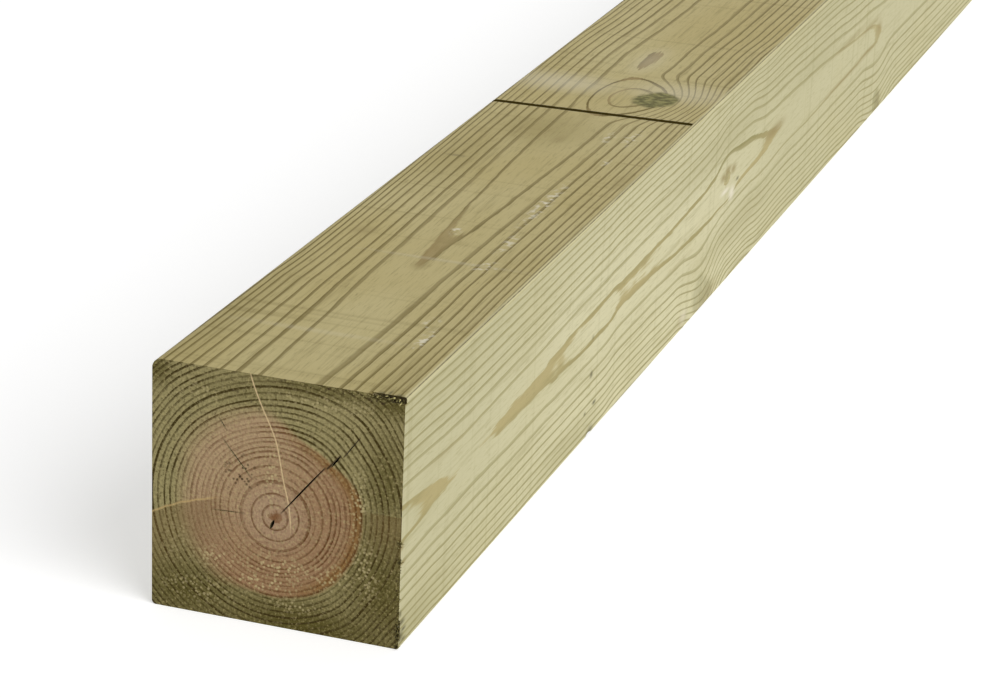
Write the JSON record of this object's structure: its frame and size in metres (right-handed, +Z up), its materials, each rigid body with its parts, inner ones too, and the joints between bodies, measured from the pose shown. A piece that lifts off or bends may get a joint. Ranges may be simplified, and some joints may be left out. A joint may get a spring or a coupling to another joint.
{
  "type": "square timber",
  "caption": "Square planed softwood timber with boxed heart, rounded long edges, end checks and a shallow saw kerf across the top face.",
  "frame": {"origin": "middle of the bottom face, on the surface the timber lies on", "axes": "+Y along the timber from the checked end to the plain end, +X to the right as seen from the checked end, +Z up"},
  "size_m": [0.09, 1, 0.09],
  "materials": {
    "treated_pine": "planed, matte, green pressure treatment"
  },
  "bodies": {
    "root": {"square_timber": "treated_pine"}
  },
  "joints": []
}
